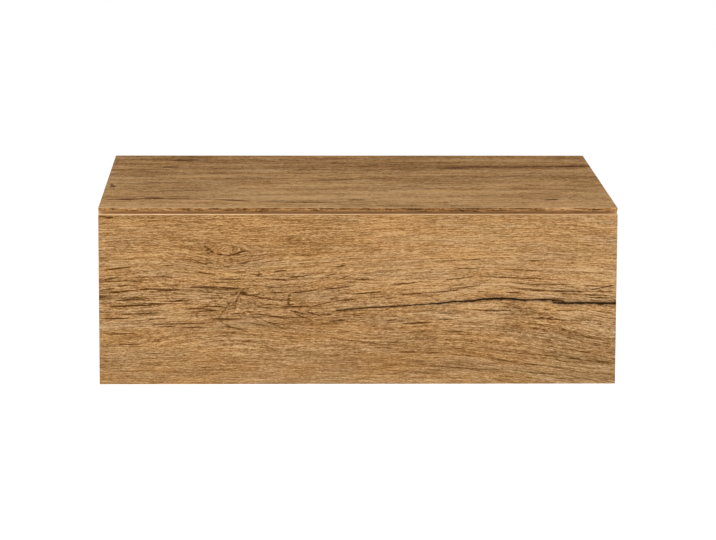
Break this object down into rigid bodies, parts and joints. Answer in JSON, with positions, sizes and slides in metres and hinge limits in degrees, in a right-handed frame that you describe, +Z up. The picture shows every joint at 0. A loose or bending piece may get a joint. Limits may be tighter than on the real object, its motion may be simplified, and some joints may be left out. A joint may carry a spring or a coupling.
{
  "type": "floating nightstand",
  "caption": "Wall-hung nightstand in oak decor with a mitred handle-less drawer on ball-bearing slides, a push-to-open latch and a hidden wall cleat.",
  "frame": {"origin": "centre of the wall cleat's flat rear face, which lies on the wall", "axes": "+X to the right seen from the front, +Y into the wall, +Z up"},
  "size_m": [0.46, 0.35, 0.159],
  "materials": {
    "oak_laminate": "rustic oak decor laminate, satin, lengthwise grain",
    "oak_edge_band": "light oak edge band, satin",
    "white_melamine": "light grey melamine, satin",
    "beech": "raw turned beech",
    "aluminium": "extruded, mill finish",
    "zinc_steel": "bright zinc plated",
    "cast_zinc": "die-cast zinc",
    "nickel": "nickel plated",
    "latch_plastic": "moulded white plastic",
    "plunger_plastic": "moulded grey plastic"
  },
  "bodies": {
    "cabinet": {"top_panel": "oak_laminate", "bottom_panel": "oak_laminate", "left_side_panel": "oak_laminate", "right_side_panel": "oak_laminate", "back_panel": "white_melamine", "wall_cleat": "aluminium", "cabinet_cleat": "aluminium", "cleat_screw_left": "zinc_steel", "cleat_screw_right": "zinc_steel", "top_cam_lock_left_front": "cast_zinc", "top_cam_bolt_left_front": "zinc_steel", "bottom_dowel_left_front": "beech", "top_cam_lock_left_rear": "cast_zinc", "top_cam_bolt_left_rear": "zinc_steel", "bottom_dowel_left_rear": "beech", "back_dowel_left_lower": "beech", "back_dowel_left_upper": "beech", "slide_outer_left": "zinc_steel", "slide_cabinet_screw_left_front": "zinc_steel", "slide_cabinet_screw_left_rear": "zinc_steel", "top_cam_lock_right_front": "cast_zinc", "top_cam_bolt_right_front": "zinc_steel", "bottom_dowel_right_front": "beech", "top_cam_lock_right_rear": "cast_zinc", "top_cam_bolt_right_rear": "zinc_steel", "bottom_dowel_right_rear": "beech", "back_dowel_right_lower": "beech", "back_dowel_right_upper": "beech", "slide_outer_right": "zinc_steel", "slide_cabinet_screw_right_front": "zinc_steel", "slide_cabinet_screw_right_rear": "zinc_steel", "latch_housing": "latch_plastic", "latch_spring": "nickel", "latch_screw_left": "zinc_steel", "latch_screw_right": "zinc_steel"},
    "drawer": {"drawer_front": "oak_laminate", "drawer_front_edge_band": "oak_edge_band", "drawer_side_left": "white_melamine", "drawer_side_right": "white_melamine", "drawer_back": "white_melamine", "drawer_base": "white_melamine", "drawer_cam_lock_left": "cast_zinc", "drawer_cam_bolt_left": "zinc_steel", "slide_inner_left": "zinc_steel", "slide_drawer_screw_left_front": "zinc_steel", "slide_drawer_screw_left_rear": "zinc_steel", "drawer_cam_lock_right": "cast_zinc", "drawer_cam_bolt_right": "zinc_steel", "slide_inner_right": "zinc_steel", "slide_drawer_screw_right_front": "zinc_steel", "slide_drawer_screw_right_rear": "zinc_steel", "latch_strike_plate": "zinc_steel"},
    "middle_member_left": {"slide_middle_left": "zinc_steel"},
    "outer_cage_left": {"ball_cage_outer_left": "nickel"},
    "inner_cage_left": {"ball_cage_inner_left": "nickel"},
    "middle_member_right": {"slide_middle_right": "zinc_steel"},
    "outer_cage_right": {"ball_cage_outer_right": "nickel"},
    "inner_cage_right": {"ball_cage_inner_right": "nickel"},
    "plunger": {"latch_plunger": "plunger_plastic", "latch_magnet": "nickel"}
  },
  "joints": [
    {"name": "drawer_slide", "type": "slide", "parent": "cabinet", "child": "drawer", "axis": [0, -1, 0], "range_m": [0, 0.28]},
    {"name": "middle_member_left_slide", "type": "slide", "parent": "cabinet", "child": "middle_member_left", "axis": [0, -1, 0], "range_m": [0, 0.14]},
    {"name": "outer_cage_left_slide", "type": "slide", "parent": "cabinet", "child": "outer_cage_left", "axis": [0, -1, 0], "range_m": [0, 0.07]},
    {"name": "inner_cage_left_slide", "type": "slide", "parent": "cabinet", "child": "inner_cage_left", "axis": [0, -1, 0], "range_m": [0, 0.21]},
    {"name": "middle_member_right_slide", "type": "slide", "parent": "cabinet", "child": "middle_member_right", "axis": [0, -1, 0], "range_m": [0, 0.14]},
    {"name": "outer_cage_right_slide", "type": "slide", "parent": "cabinet", "child": "outer_cage_right", "axis": [0, -1, 0], "range_m": [0, 0.07]},
    {"name": "inner_cage_right_slide", "type": "slide", "parent": "cabinet", "child": "inner_cage_right", "axis": [0, -1, 0], "range_m": [0, 0.21]},
    {"name": "plunger_slide", "type": "slide", "parent": "cabinet", "child": "plunger", "axis": [0, 1, 0], "range_m": [0, 0.003], "stiffness_N_per_m": 400, "springref_m": -0.01, "deforming": ["latch_spring"]}
  ],
  "couplings": [
    {"joint": "middle_member_left_slide", "follows": "drawer_slide", "ratio": 0.5},
    {"joint": "outer_cage_left_slide", "follows": "drawer_slide", "ratio": 0.25},
    {"joint": "inner_cage_left_slide", "follows": "drawer_slide", "ratio": 0.75},
    {"joint": "middle_member_right_slide", "follows": "drawer_slide", "ratio": 0.5},
    {"joint": "outer_cage_right_slide", "follows": "drawer_slide", "ratio": 0.25},
    {"joint": "inner_cage_right_slide", "follows": "drawer_slide", "ratio": 0.75}
  ]
}
